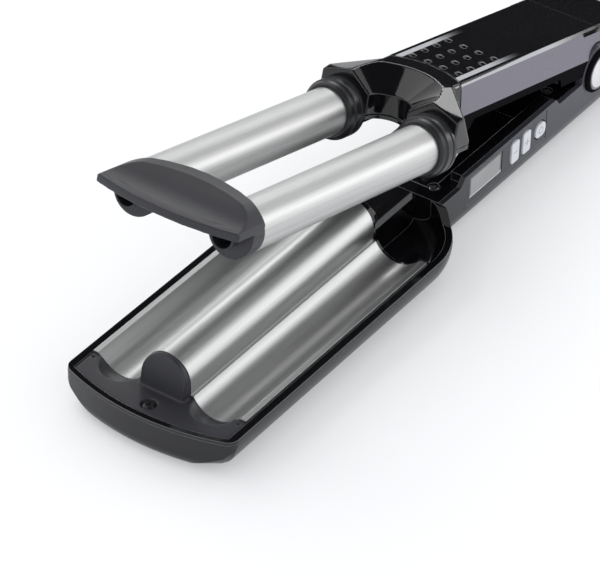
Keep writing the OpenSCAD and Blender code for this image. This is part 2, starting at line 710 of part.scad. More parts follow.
// side view of the upper handle: round rear end about the hinge, lower edge that
// rises behind the hinge so that it clears the lower arm when open
module upper_side(i) {
    tilt = jaw_open + 1;
    difference() {
        union() {
            translate([collar_front, liner_z]) square([hinge_y - collar_front, top_z - liner_z - i]);
            translate([hinge_y, jaw_z]) intersection() {
                circle(top_r - i);
                translate([-over, -over]) square([far, far]);
            }
        }
        translate([hinge_y, liner_z]) polygon([[0, 0], [far, far * tan(tilt)], [far, -far], [0, -far]]);
    }
}
// plan of the collar's rear edge, a bow that carries on into the handle's front edge
collar_bow_r = 27;
collar_bow_y = collar_front + 2.5;
module collar_bow(r) {
    translate([0, collar_bow_y]) circle(r);
    translate([-far, -far]) square([2 * far, far + collar_front + 18]);
}

// one raised dome, standing on the handle's flat top
module dot() rotate_extrude() intersection() {
    translate([0, -1.6]) circle(1.6 + dot_h);
    translate([0, -0.5]) square([2, dot_h + over]);
}
module dots() for (c = [0 : 3], r = [0 : 3])
    translate([(c - 1.5) * dot_pitch_x, hinge_y - 97.9 + r * dot_pitch_y, top_z]) dot();
module upper_ear() xslab(cheek_in, cheek_out) difference() {
    union() {
        translate([hinge_y, jaw_z]) circle(cheek_r);
        intersection() {
            translate([hinge_y - cheek_r, jaw_z]) square([2 * cheek_r, far]);
            upper_side(upper_wall / 2);
        }
    }
    translate([hinge_y, jaw_z]) circle(pin_r + run_gap);
}
module upper_housing() color([0.06, 0.06, 0.07]) opened() {
    difference() {
        intersection() {
            yslab(collar_front, hinge_y + far) upper_section(0);
            xslab(-far, far) upper_side(0);
        }
        // hollow
        intersection() {
            yslab(collar_front - over, hinge_y + far) upper_section(upper_wall);
            xslab(-far, far) {
                upper_side(upper_wall);
                translate([collar_front - over, 0]) square([hinge_y - collar_front + over, jaw_z + 2]);
                translate([hinge_y - 1, 0]) square([top_r - upper_wall - 1, jaw_z + 2]);
            }
        }
        // front edge follows the collar's bow
        zslab(0, far * 2) collar_bow(collar_bow_r + fit);
        // room for the lower arm's ears and their caps
        both() at_hinge() xcyl(ear_r + swing_gap, cheek_out, far);
        // notch over the raised side wall of the panel
        xslab(pod_x - swing_gap, far) polygon([[panel_front - 3.6, liner_z - over],
            [panel_front - 0.6, panel_z + parting_gap], [panel_rear + 0.6, panel_z + parting_gap],
            [panel_rear + 3.8, liner_z - over]]);
    }
    both() upper_ear();
    dots();
}
module liner_posts(r, z0, z1) for (y = [hinge_y - 80, hinge_y - 30])
    translate([-9, y, z0]) cylinder(r = r, h = z1 - z0);
module upper_liner() color([0.07, 0.07, 0.08]) opened() {
    w = handle_half_w - upper_wall - fit;
    y1 = hinge_y - ear_r - 5;
    difference() {
        union() {
            translate([-w, collar_front + 12, liner_z]) cube([2 * w, y1 - collar_front - 12, 1.8]);
            liner_posts(3, liner_z + 1, top_z - upper_wall - fit);
        }
        zslab(0, far * 2) collar_bow(collar_bow_r + fit);
        translate([pod_x - swing_gap, panel_front - 4, 0]) cube([far, panel_rear - panel_front + 8, far]);
        liner_posts(1, 0, liner_z + 8);
        liner_posts(2.2, 0, liner_z + 0.8);
    }
    // wall that closes the liner around the pod's notch
    difference() {
        translate([pod_x - swing_gap - 1.5, panel_front - 4.2, liner_z + 1])
            cube([w - pod_x + swing_gap + 1.5, panel_rear - panel_front + 8.4, 5]);
        translate([pod_x - swing_gap, panel_front - 3, 0])
            cube([far, panel_rear - panel_front + 6, panel_z + parting_gap]);
    }
}

// the collar widens from the handle to the two barrels
module handle_end(z0) polygon([[-handle_half_w, z0], [-handle_half_w, slant_z],
    [-top_half_w - 1, top_z - 1.3], [-top_half_w, top_z], [top_half_w, top_z],
    [top_half_w + 1, top_z - 1.3], [handle_half_w, slant_z], [handle_half_w, z0]]);
module collar_hull() {
    hull() {
        // front face under a shallow arch
        yslab(collar_front, collar_front + 0.5) intersection() {
            translate([0, top_z + 0.8 - 80]) circle(80, $fn = 96);
            translate([-collar_half_w, seam_z]) square([2 * collar_half_w, far]);
        }
        // flat flank, its rear edge slanting
        xslab(-collar_half_w, collar_half_w) polygon([[collar_front, seam_z], [collar_front, 34],
            [collar_front + 4.5, 35], [collar_front + 12, seam_z + 1.5], [collar_front + 12, seam_z]]);
        yslab(collar_front + 17, collar_front + 18) handle_end(seam_z);
    }
    yslab(collar_front + 17, collar_front + 32) handle_end(seam_z);
}
collar_half_w = 31;
seam_z = jaw_z + 0.2;                         // joint between the collar's two halves
notch_r = 8.5;                                // notch between the two sleeves
web_y = collar_front + notch_r;
module notch() translate([0, collar_front, 0]) cylinder(r = notch_r, h = far);
module barrel_seats(r) for (s = [-1, 1]) translate([s * barrel_x, 0, jaw_z])
    ycyl(r, collar_front - over, collar_front + 8);
module collar_upper() color([0.05, 0.05, 0.06]) opened() difference() {
    intersection() {
        collar_hull();
        zslab(0, far * 2) collar_bow(collar_bow_r);
    }
    barrel_seats(barrel_r + fit);
    // funnel-shaped scoop in the top, running into the notch
    translate([0, collar_front, scoop_z]) cylinder(r1 = notch_r, r2 = notch_r + 20, h = 15);
    notch();
    // hollow behind the web
    translate([-15, web_y + 2.5, 0]) cube([30, 40, scoop_z - 0.6]);
    translate([-13, web_y + 10.5, 0]) cube([26, 40, top_z - 3]);
    translate([-18, web_y + 2.5, 0]) cube([36, 40, 27]);
    collar_screw_holes(0.9, 0, 30);
}
scoop_z = 31;
module collar_screw_holes(r, z0, z1) for (s = [-1, 1])
    translate([s * (barrel_x + 2), collar_front + 11, z0]) cylinder(r = r, h = z1 - z0);
module collar_lower() color([0.06, 0.06, 0.07]) opened() difference() {
    union() {
        intersection() {
            union() {
                // body beside the barrels, its underside chamfered
                hull() {
                    translate([-collar_half_w, collar_front, seam_z - 1.6])
                        cube([2 * collar_half_w, 11.9, 1.55]);
                    translate([-collar_half_w + 3, collar_front, seam_z - 2.8])
                        cube([2 * collar_half_w - 6, 9.5, 1]);
                }
                hull() {
                    translate([-collar_half_w, collar_front + 6, seam_z - 1.5])
                        cube([2 * collar_half_w, 5.9, 1.45]);
                    translate([-handle_half_w, collar_front + 17, seam_z - 1.5])
                        cube([2 * handle_half_w, 1, 1.45]);
                }
                translate([-handle_half_w, collar_front + 17, seam_z - 1.5])
                    cube([2 * handle_half_w, 14, 1.45]);
            }
            zslab(0, far) collar_bow(collar_bow_r);
        }
        for (s = [-1, 1]) intersection() {
            translate([s * barrel_x, collar_front, jaw_z]) sphere(10.9);
            translate([-far, collar_front, 0]) cube([2 * far, 20, seam_z - 0.05]);
        }
    }
    barrel_seats(barrel_r + fit);
    notch();
    // clear of the ridge between the pockets
    translate([-notch_r - 0.6, collar_front - over, 0]) cube([2 * notch_r + 1.2, 40, seam_z - 1.5]);
    collar_screw_holes(1.2, 0, far);
    collar_screw_holes(2.3, 0, seam_z - 1.5);
}
module collar_screws() color([0.45, 0.45, 0.47]) opened()
    for (s = [-1, 1]) translate([s * (barrel_x + 2), collar_front + 11, seam_z - 1.52])
        rotate([180, 0, 0]) screw(0.85, 2.1, 6);

module barrel(s) opened() translate([s * barrel_x, 0, jaw_z]) difference() {
    ycyl(barrel_r, barrel_front, collar_front + 7);
    ycyl(barrel_r - barrel_wall, barrel_front - over, collar_front + 9);
}
module barrel_left() color([0.74, 0.76, 0.76]) barrel(-1);
module barrel_right() color([0.74, 0.76, 0.76]) barrel(1);
module ferrule(s) opened() translate([s * barrel_x, ferrule_front, jaw_z]) rotate([-90, 0, 0])
    rotate_extrude() polygon([[barrel_r + 0.05, 0], [barrel_r + 1, 0], [barrel_r + 1.7, 0.8],
        [barrel_r + 2, 2.6], [ferrule_r, 3.2], [ferrule_r, 6.2], [ferrule_r - 0.5, 6.5],
        [ferrule_r - 0.5, 7], [ferrule_r, 7.3], [ferrule_r, ferrule_len - 0.1],
        [barrel_r + 0.05, ferrule_len - 0.1]]);
module ferrule_left() color([0.14, 0.14, 0.15]) ferrule(-1);
module ferrule_right() color([0.14, 0.14, 0.15]) ferrule(1);
module heat_blocks() color([0.65, 0.65, 0.67]) opened()
    for (s = [-1, 1], t = [0, 180]) translate([s * barrel_x, 0, jaw_z]) rotate([0, t, 0])
        intersection() {
            ycyl(barrel_r - barrel_wall - 0.06, barrel_front + 14, collar_front - 4);
            translate([-far, -far * 4, 1.3]) cube([2 * far, far * 8, far]);
        }
module barrel_heaters() color([0.85, 0.82, 0.7]) opened()
    for (s = [-1, 1]) translate([s * barrel_x - 6.5, barrel_front + 15, jaw_z - 1.25])
        cube([13, barrel_len - 16, 2.5]);
module barrel_sensor() color([0.3, 0.5, 0.3]) opened()
    for (s = [-1, 1]) translate([s * barrel_x - 2, collar_front - 3.9, jaw_z - 8])
        cube([4, 5, 12]);

// the tip: a bowed visor that bridges two plugs
tip_w = barrel_x + barrel_r + 0.5;
tip_front = barrel_front - 23.1;
tip_rear = barrel_front + 4.6;
tip_lip_z = jaw_z + 3;                        // underside of the visor
tip_edge_z = jaw_z + 6.1;                     // top of the visor's front edge
tip_top_z = jaw_z + 11.9;
plug_front = barrel_front - 7.4;
tip_boss_r = 4.8;
tip_wall = 1.6;
tip_seat = 5.6;                               // the plug screws' heads sit this far above the axes
tip_screw_y = barrel_front - 3.4;
tip_screw_len = 3.6;
tip_boss_z = jaw_z + tip_seat + 1.6;          // lower end of the bridge's screw bosses
module tip_plan(i) intersection() {
    translate([-tip_w + i, tip_front]) square([2 * (tip_w - i), tip_rear - tip_front]);
    translate([0, tip_front + 100]) circle(100 - i, $fn = 240);
    translate([0, tip_rear - 79.8]) circle(79.8 - i, $fn = 240);
}
// side view: the visor's top rises in a hollow curve to the ridge
module tip_side(i) difference() {
    translate([tip_front - over, jaw_z - 2]) square([40, tip_top_z - jaw_z + 2.1 - i]);
    translate([tip_front + 2.4, tip_edge_z + 32.9 - i]) circle(32.9, $fn = 180);
    translate([tip_front - 2, tip_edge_z - i + 0.12]) square([4.4, far]);
}
// front view: a flat crown with rounded shoulders
module tip_crown(i) intersection() {
    translate([0, tip_top_z - 160 - i]) circle(160, $fn = 256);
    intersection_for(s = [-1, 1]) union() {
        translate([s * 17.26, jaw_z - 9.1 - i]) circle(20);
        translate([s > 0 ? -far : -20, 0]) square([far + 20, far]);
    }
    translate([-tip_w + i, 0]) square([2 * (tip_w - i), far]);
}
module tip_shape(i, z0) intersection() {
    zslab(z0, tip_top_z + 1) tip_plan(i);
    xslab(-far, far) tip_side(i);
    yslab(tip_front - over, tip_rear + over) tip_crown(i);
}
// everything above the visor's hollow top, lowered by i
module above_tip(i) xslab(-far, far) translate([tip_front + 2.4, tip_edge_z + 32.9 - i])
    circle(32.9, $fn = 180);
module tip_bosses(r, z0, z1)
    for (s = [-1, 1]) translate([s * barrel_x, tip_screw_y, z0]) cylinder(r = r, h = z1 - z0);
module tip_bridge() color([0.26, 0.26, 0.28]) opened() difference() {
    union() {
        tip_visor();
        tip_bosses(2, tip_boss_z, jaw_z + 9.8);
    }
    // blind holes for the plug screws
    tip_bosses(0.92, jaw_z, jaw_z + 9.3);
}
module tip_visor() difference() {
    tip_shape(0, jaw_z + 1.5);
    // hollow underneath, between the plugs and the visor's edge
    difference() {
        tip_shape(tip_wall, jaw_z);
        translate([-far, tip_front, 0]) cube([2 * far, 3, far]);
    }
    // room for the plate's crest when the jaw is closed
    yslab(barrel_front - 2, barrel_front + far) {
        translate([0, jaw_z]) circle(crest_r + 0.6);
        translate([-crest_r - 0.6, 0]) square([2 * crest_r + 1.2, jaw_z]);
    }
    // underside of the visor
    translate([-far, tip_front - over, 0]) cube([2 * far, plug_front - tip_front + over - 0.6, tip_lip_z]);
    // the side walls run down beside the plugs
    difference() {
        for (s = [-1, 1]) translate([s * barrel_x, 0, jaw_z])
            ycyl(barrel_r + 0.1, plug_front - 0.2, far);
        above_tip(tip_wall);
    }
    // fine lines along the visor's front edge
    for (k = [1.6, 3.4]) translate([0, tip_front + 100, tip_edge_z + 0.12])
        rotate_extrude($fn = 240) translate([100 - k, 0]) circle(0.28, $fn = 12);
}
module tip_carrier() color([0.16, 0.16, 0.18]) opened() difference() {
    union() {
        for (s = [-1, 1]) translate([s * barrel_x, 0, jaw_z]) {
            ycyl(barrel_r, plug_front, barrel_front - 0.1);
            ycyl(barrel_r - barrel_wall - fit, barrel_front - 1, barrel_front + 12);
            ycyl(tip_boss_r, plug_front - 5.5, plug_front + over);
        }
    }
    above_tip(tip_wall + 0.15);
    // deep hole in each boss
    for (s = [-1, 1]) translate([s * barrel_x, 0, jaw_z])
        ycyl(tip_boss_r - 0.6, plug_front - 7, plug_front + 2);
    // each screw's way in from below, and room for its boss
    tip_bosses(1.25, 0, far);
    tip_bosses(2.3, 0, jaw_z + tip_seat);
    tip_bosses(2 + fit, tip_boss_z - fit, far);
}
module tip_screws() color([0.45, 0.45, 0.47]) opened()
    for (s = [-1, 1]) translate([s * barrel_x, tip_screw_y, jaw_z + tip_seat - 0.02])
        rotate([180, 0, 0]) screw(0.9, 1.8, tip_screw_len);
module liner_screws() color([0.45, 0.45, 0.47]) opened()
    for (y = [hinge_y - 80, hinge_y - 30]) translate([-9, y, liner_z + 0.78])
        rotate([180, 0, 0]) screw(0.95, 2, 6);

lower_housing();
tray_frame();
lower_handle_cover();
wave_plate();
front_end_cap();
end_cap_screw();
plate_heaters();
heater_insulator();
heater_clamp();
thermal_fuse();
plate_sensor();
control_board();
display_module();
display_window();
control_bezel();
tact_switches();
hinge_pin();
hinge_cap_left();
hinge_cap_right();
hinge_spring();
housing_screws();
gland_retainer();
cord_swivel();
button_minus();
button_plus();
button_power();
upper_housing();
upper_liner();
collar_upper();
collar_lower();
barrel_left();
barrel_right();
ferrule_left();
ferrule_right();
heat_blocks();
barrel_heaters();
tip_bridge();
tip_carrier();
tip_screws();
collar_screws();
liner_screws();
barrel_sensor();
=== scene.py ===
"""Dresses the hair waver: a finish for every sub-part, moulded forms, keycaps, studio and camera."""

import json
import math

import bmesh
import bpy
from mathutils import Matrix, Vector

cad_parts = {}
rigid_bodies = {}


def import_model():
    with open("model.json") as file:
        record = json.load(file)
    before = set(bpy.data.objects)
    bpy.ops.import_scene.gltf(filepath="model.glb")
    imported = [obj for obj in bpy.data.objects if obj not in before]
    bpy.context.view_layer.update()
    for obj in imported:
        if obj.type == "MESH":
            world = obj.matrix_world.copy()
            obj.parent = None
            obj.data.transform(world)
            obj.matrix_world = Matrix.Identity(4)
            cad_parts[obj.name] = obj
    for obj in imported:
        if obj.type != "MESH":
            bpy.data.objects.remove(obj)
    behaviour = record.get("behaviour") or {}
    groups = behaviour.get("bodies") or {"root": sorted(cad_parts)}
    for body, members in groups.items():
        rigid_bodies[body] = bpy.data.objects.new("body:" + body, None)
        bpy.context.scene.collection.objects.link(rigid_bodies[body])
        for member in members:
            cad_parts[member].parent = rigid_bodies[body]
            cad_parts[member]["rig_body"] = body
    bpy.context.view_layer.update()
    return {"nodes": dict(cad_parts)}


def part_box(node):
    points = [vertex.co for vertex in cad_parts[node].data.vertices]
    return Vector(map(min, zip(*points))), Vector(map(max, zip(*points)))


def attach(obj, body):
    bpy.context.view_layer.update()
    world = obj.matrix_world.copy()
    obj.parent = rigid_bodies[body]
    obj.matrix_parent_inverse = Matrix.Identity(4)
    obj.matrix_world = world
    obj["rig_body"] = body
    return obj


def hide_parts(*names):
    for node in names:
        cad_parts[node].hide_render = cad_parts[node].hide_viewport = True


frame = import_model()
NODES = frame["nodes"]

# ---------------------------------------------------------------- sizes, in metres
MM = 0.001
JAW_OPEN = math.radians(15)          # how far the upper arm is swung open at rest
HINGE = Vector((0, 0.123, 0.022))    # the hinge axis runs through here, along X

# the camera, as fitted to the photograph
CAMERA_AT = Vector((0.614385, -0.965534, 0.84981))
CAMERA_AZIMUTH = math.radians(34.038)
CAMERA_ELEVATION = math.radians(37.418)
CAMERA_ROLL = math.radians(1.632)
CAMERA_LENS_MM = 219.18
SENSOR_MM = 36.0

# ---------------------------------------------------------------- colours
JET = (0.004, 0.004, 0.005)
SATIN_TITANIUM = (0.56, 0.565, 0.56)
# painted highlight: light grey laid on sharp edges as if they caught the light
EDGE_HIGHLIGHT_GREY = (0.22, 0.22, 0.235)
# grey of the handle's slanting sides: partly their own satin tone, partly painted reflection
SLANT_GREY_AND_SHEEN = (0.16, 0.15, 0.19)
# painted highlight lines on the upper handle
HIGHLIGHT_LINE_GREY = (0.42, 0.42, 0.44)
STUDIO_DARK = (0.02, 0.02, 0.023)
WHITE = (1, 1, 1)


def tinted(colour, amount):
    """A colour made darker or lighter."""
    return tuple(min(1, part * amount) for part in colour)


# ---------------------------------------------------------------- shader sums
class Value:
    """One output of a shader node. Python sums on it add the nodes that work them out."""

    def __init__(self, nodes, socket):
        self.nodes = nodes
        self.socket = socket

    def math(self, operation, other=0.0, flipped=False):
        first, second = (other, self) if flipped else (self, other)
        return self.nodes.node("Math", {"operation": operation}, {0: first, 1: second})

    def __add__(self, other):
        return self.math("ADD", other)

    def __sub__(self, other):
        return self.math("SUBTRACT", other)

    def __rsub__(self, other):
        return self.math("SUBTRACT", other, flipped=True)

    def __mul__(self, other):
        return self.math("MULTIPLY", other)

    __radd__ = __add__
    __rmul__ = __mul__


class Nodes:
    """The node tree of a material or of the world."""

    def __init__(self, owner):
        owner.use_nodes = True
        self.tree = owner.node_tree
        self.tree.nodes.clear()

    def node(self, kind, settings, values, out=0):
        """Adds a node: its settings first, then the values or links of its sockets."""
        made = self.tree.nodes.new("ShaderNode" + kind)
        for key, setting in settings.items():
            setattr(made, key, setting)
        for key, value in values.items():
            if isinstance(value, Value):
                self.tree.links.new(value.socket, made.inputs[key])
            else:
                made.inputs[key].default_value = value
        return None if out is None else Value(self, made.outputs[out])


class Finish(Nodes):
    """A material with one glossy shader, built by plain calls."""

    def __init__(self, name, constants):
        self.material = bpy.data.materials.new(name)
        super().__init__(self.material)
        self.shader = self.node("BsdfPrincipled", {}, constants)

    def feed(self, socket, value):
        self.tree.links.new(value.socket, self.shader.socket.node.inputs[socket])

    def done(self, surface=None):
        """Ends the material with its shader, or with a surface blended from it."""
        self.node("OutputMaterial", {}, {"Surface": surface or self.shader}, out=None)
        return self.material

    # places on the part
    def place(self, turn=0.0, stretch=(1, 1, 1)):
        """The point on the part at rest, in metres, turned about X and stretched."""
        at = self.node("TexCoord", {}, {}, out="Object")
        if turn:
            at = self.node("VectorRotate", {"rotation_type": "X_AXIS"},
                           {"Vector": at, "Angle": turn})
        return self.node("VectorMath", {"operation": "MULTIPLY"}, {0: at, 1: stretch})

    def closed_place(self):
        """The point where it lies with the jaw closed."""
        at = self.node("TexCoord", {}, {}, out="Object")
        return self.node("VectorRotate", {"rotation_type": "X_AXIS"},
                         {"Vector": at, "Center": tuple(HINGE), "Angle": JAW_OPEN})

    def axis(self, vector, name):
        return self.node("SeparateXYZ", {}, {0: vector}, out=name)

    # patterns and masks
    def noise(self, at, scale, detail=3.0, rough=0.5):
        return self.node("TexNoise", {}, {"Vector": at, "Scale": scale, "Detail": detail,
                                          "Roughness": rough}, out="Fac")

    def band(self, value, low, high):
        """Runs smoothly from 0 to 1 as a value goes from low to high."""
        return self.node("MapRange", {"interpolation_type": "SMOOTHSTEP"},
                         {"Value": value, "From Min": low, "From Max": high})

    def inside(self, value, low, high, soft):
        """1 where a value lies between low and high, with soft ends."""
        return self.band(value, low - soft, low) * (1 - self.band(value, high, high + soft))

    def edge_share(self, radius):
        """1 on sharp edges, 0 on faces; it places the painted edge highlights."""
        facing = self.node("NewGeometry", {}, {}, out="Normal")
        along = self.node("VectorMath", {"operation": "DOT_PRODUCT"},
                          {0: self.round_edges(radius), 1: facing}, out="Value")
        return self.band(1 - along, 0.03, 0.15)

    # colour and relief
    def mix(self, share, first, second):
        """Blends two colours."""
        first, second = (c if isinstance(c, Value) else (*c, 1) for c in (first, second))
        return self.node("Mix", {"data_type": "RGBA"}, {0: share, 6: first, 7: second}, out=2)

    def bump(self, height, depth, strength, under=None):
        links = {"Height": height, "Distance": depth, "Strength": strength}
        if under is not None:
            links["Normal"] = under
        return self.node("Bump", {}, links)

    def round_edges(self, radius):
        return self.node("Bevel", {"samples": 6}, {"Radius": radius})

    def dulled(self, share):
        """The shader with a share of the surface covered in matt black, mostly as painted shade."""
        matt = self.node("BsdfPrincipled", {}, {"Base Color": (*JET, 1), "Roughness": 0.9,
                                                "Specular IOR Level": 0.05})
        return self.node("MixShader", {}, {0: share, 1: self.shader, 2: matt})


# ---------------------------------------------------------------- finishes
def brushed_metal(name, turn, base, rough):
    """Satin metal coat with long soft streaks and fine brushing along the part's length."""
    f = Finish(name, {"Metallic": 1.0})
    fine = f.noise(f.place(turn, (1, 0.006, 1)), 2600, 3.0, 0.6)
    soft = f.noise(f.place(turn, (1, 0.008, 1)), 260, 2.0, 0.5)
    cloud = f.noise(f.place(turn), 26, 3.0, 0.5)
    streaks = f.band(soft * 0.6 + fine * 0.4, 0.35, 0.65)
    f.feed("Base Color", f.mix(streaks, tinted(base, 0.90), tinted(base, 1.10)))
    f.feed("Roughness", fine * 0.08 + cloud * 0.04 + (rough - 0.06))
    f.feed("Normal", f.bump(fine, 0.000004, 0.3, f.round_edges(0.0003)))
    return f.done()


def gloss_plastic(name, base, rough=0.06, edge_highlight=None):
    """Polished moulded plastic with a faint flow pattern, fine rub marks and painted highlights on
    its edges.
    """
    f = Finish(name, {"IOR": 1.5})
    edge_radius = 0.0004
    at = f.place()
    flow = f.noise(at, 35, 3.0, 0.5)
    rub = f.noise(f.place(0, (1, 0.08, 1)), 900, 2.0, 0.6)
    colour = f.mix(flow, tinted(base, 0.9), tinted(base, 1.12))
    # painted highlight: the sharp edges are lightened with the given grey
    if edge_highlight:
        colour = f.mix(f.edge_share(edge_radius), colour, edge_highlight)
    f.feed("Base Color", colour)
    f.feed("Roughness", f.band(rub, 0.45, 0.75) * 0.05 + flow * 0.03 + rough)
    ripple = f.noise(at, 160, 2.0, 0.5)
    f.feed("Normal", f.bump(ripple, 0.00002, 0.25, f.round_edges(edge_radius)))
    return f.done()


def grained_plastic(name, base, rough=0.45, grain=0.00003, radius=0.0004, edge_highlight=None, rear=None):
    """Spark-eroded satin plastic: a fine even grain, slightly worn smooth in clouds."""
    f = Finish(name, {"IOR": 1.48, "Specular IOR Level": 0.4})
    at = f.place()
    pores = f.noise(at, 2600, 2.0, 0.6)
    wear = f.noise(at, 40, 4.0, 0.55)
    shade = f.band(pores * 0.5 + wear * 0.5, 0.35, 0.65)
    colour = f.mix(shade, tinted(base, 0.88), tinted(base, 1.12))
    if rear:
        front_y, rear_y = -0.03, 0.13
        colour = f.mix(f.band(f.axis(at, "Y"), front_y, rear_y), colour, rear)
    # painted highlight: the sharp edges are lightened with the given grey
    if edge_highlight:
        colour = f.mix(f.edge_share(radius), colour, edge_highlight)
    f.feed("Base Color", colour)
    f.feed("Roughness", rough - 0.05 + pores * 0.12 - f.band(wear, 0.5, 0.75) * 0.05)
    f.feed("Normal", f.bump(pores, grain, 0.5, f.round_edges(radius)))
    return f.done()


def turned_metal(name, base, rough=0.25):
    """Plated or turned metal with faint machining marks."""
    f = Finish(name, {"Metallic": 1.0})
    marks = f.noise(f.place(0, (1, 1, 6)), 1500, 2.0, 0.6)
    stain = f.noise(f.place(), 120, 3.0, 0.5)
    f.feed("Base Color", f.mix(stain, tinted(base, 0.85), base))
    f.feed("Roughness", marks * 0.15 + (rough - 0.07))
    f.feed("Normal", f.bump(marks, 0.00001, 0.3, f.round_edges(0.0001)))
    return f.done()


def handle_gloss(name):
    """Polished black; satin grey on the slanting sides, partly own tone and partly painted
    reflection, with painted highlight lines along their top and matt black painted shade on the
    upright walls.
    """
    f = Finish(name, {"IOR": 1.5})
    at = f.place()
    closed = f.closed_place()
    length = f.axis(closed, "Y")
    width = f.axis(closed, "X").math("ABSOLUTE")
    height = f.axis(closed, "Z")
    facing = f.node("NewGeometry", {}, {}, out="True Normal")
    across = f.axis(facing, "X").math("ABSOLUTE")
    upward = f.axis(facing, "Z")
    # the faces of the handle, told apart by the way they face
    # the slanting sides get grey that is partly own tone and partly painted reflection
    slant = f.inside(across, 0.86, 0.94, 0.03) * f.band(upward, 0.2, 0.3)
    chamfer = f.inside(across, 0.6, 0.85, 0.02)
    before_hinge = 1 - f.band(length, 0.121, 0.125)
    # painted shade: the upright walls before the hinge are made matt black
    upright_shade = f.band(across, 0.95, 0.98) * before_hinge
    # two painted highlight lines beside the chamfer, standing in for the light its rounded edges
    # catch; they run out towards the rear
    top_highlight = f.inside(width, 0.0123, 0.0146, 0.0002) * f.band(height, 0.0388, 0.0393)
    top_highlight = top_highlight * (1 - f.band(length, 0.040, 0.068))
    climb = f.band(length, 0.02, 0.105) * 0.0009
    side_highlight = f.inside(height - climb, 0.0372, 0.0388, 0.0002)
    side_highlight = side_highlight * f.band(width, 0.0160, 0.0164) * chamfer
    highlight_lines = top_highlight + side_highlight * (1 - f.band(length, 0.085, 0.110))
    flow = f.noise(at, 35, 3.0, 0.5)
    black = f.mix(flow, (0.003, 0.003, 0.004), (0.005, 0.005, 0.006))
    f.feed("Base Color", f.mix(highlight_lines, f.mix(slant, black, SLANT_GREY_AND_SHEEN), HIGHLIGHT_LINE_GREY))
    f.feed("Roughness", slant * 0.2 + highlight_lines * 0.3 + flow * 0.03 + 0.06)
    ripple = f.noise(at, 160, 2.0, 0.5)
    f.feed("Normal", f.bump(ripple, 0.00002, 0.25, f.round_edges(0.0003)))
    # matt black on the upright walls is painted shade; the upward chamfer is dulled too, except
    # under the highlight lines
    dark_chamfer = chamfer * f.band(upward, 0.3, 0.4) * (1 - side_highlight)
    return f.done(f.dulled(upright_shade + dark_chamfer * 0.8 * (1 - highlight_lines)))


def circuit_board(name):
    """Green lacquered board with a pattern of tracks."""
    f = Finish(name, {"Roughness": 0.35})
    tracks = {"Vector": f.place(), "Scale": 600.0, "Color1": (0.03, 0.18, 0.08, 1),
              "Color2": (0.03, 0.22, 0.09, 1), "Mortar": (0.05, 0.3, 0.13, 1),
              "Mortar Size": 0.06}
    f.feed("Base Color", f.node("TexBrick", {"offset": 0.5}, tracks))
    f.feed("Normal", f.round_edges(0.0001))
    return f.done()


def mottled(name, base, rough, scale):
    """Pressed mineral, such as heater ceramic or mica sheet."""
    f = Finish(name, {})
    spots = f.noise(f.place(), scale, 5.0, 0.6)
    f.feed("Base Color", f.mix(spots, tinted(base, 0.8), base))
    f.feed("Roughness", spots * 0.2 + (rough - 0.1))
    f.feed("Normal", f.bump(spots, 0.00005, 0.5))
    return f.done()


def liquid_crystal(name):
    """Unlit display: pale grey with a faint grid of cells."""
    f = Finish(name, {})
    at = f.place()
    cells = f.node("TexChecker", {}, {"Vector": at, "Scale": 1400.0}, out="Fac")
    cloud = f.noise(at, 60, 2.0, 0.5)
    shade = cells * 0.12 + cloud * 0.2
    f.feed("Base Color", f.mix(shade, (0.34, 0.35, 0.35), (0.44, 0.45, 0.44)))
    f.feed("Roughness", cloud * 0.1 + 0.25)
    return f.done()


def window_clear(name):
    """Clear cover over the pale display: dark frame, and the bevel along the lower edge painted
    bright as a highlight.
    """
    low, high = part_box("display_window")
    f = Finish(name, {"Coat Roughness": 0.05})
    at = f.place()
    length = f.axis(at, "Y")
    height = f.axis(at, "Z")
    haze = f.noise(at, 90, 3.0, 0.5)
    glass = f.mix(haze, (0.27, 0.265, 0.27), (0.36, 0.355, 0.36))
    clear_length = f.inside(length, low.y + 1.1 * MM, high.y - 1.3 * MM, 0.3 * MM)
    clear_height = 1 - f.band(height, high.z - 1.3 * MM, high.z - 1.0 * MM)
    colour = f.mix(1 - clear_length * clear_height, glass, (0.10, 0.10, 0.105))
    # the lower edge, from the glass downwards: dark rim, painted highlight line, dark gap, painted
    # highlight on the bevel
    rim = 1 - f.band(height, low.z + 1.3 * MM, low.z + 1.5 * MM)
    # painted highlights: a bright line and the bright bevel along the lower edge
    window_highlight_line = f.inside(height, low.z + 0.9 * MM, low.z + 1.1 * MM, 0.1 * MM)
    bevel_highlight = 1 - f.band(height, low.z + 0.5 * MM, low.z + 0.6 * MM)
    for share, shade in ((rim, 0.14), (window_highlight_line, 0.6), (bevel_highlight, 0.8)):
        colour = f.mix(share, colour, (shade, shade, shade))
    f.feed("Base Color", colour)
    f.feed("Roughness", haze * 0.06 + 0.06)
    f.feed("Normal", f.round_edges(0.0003))
    return f.done()


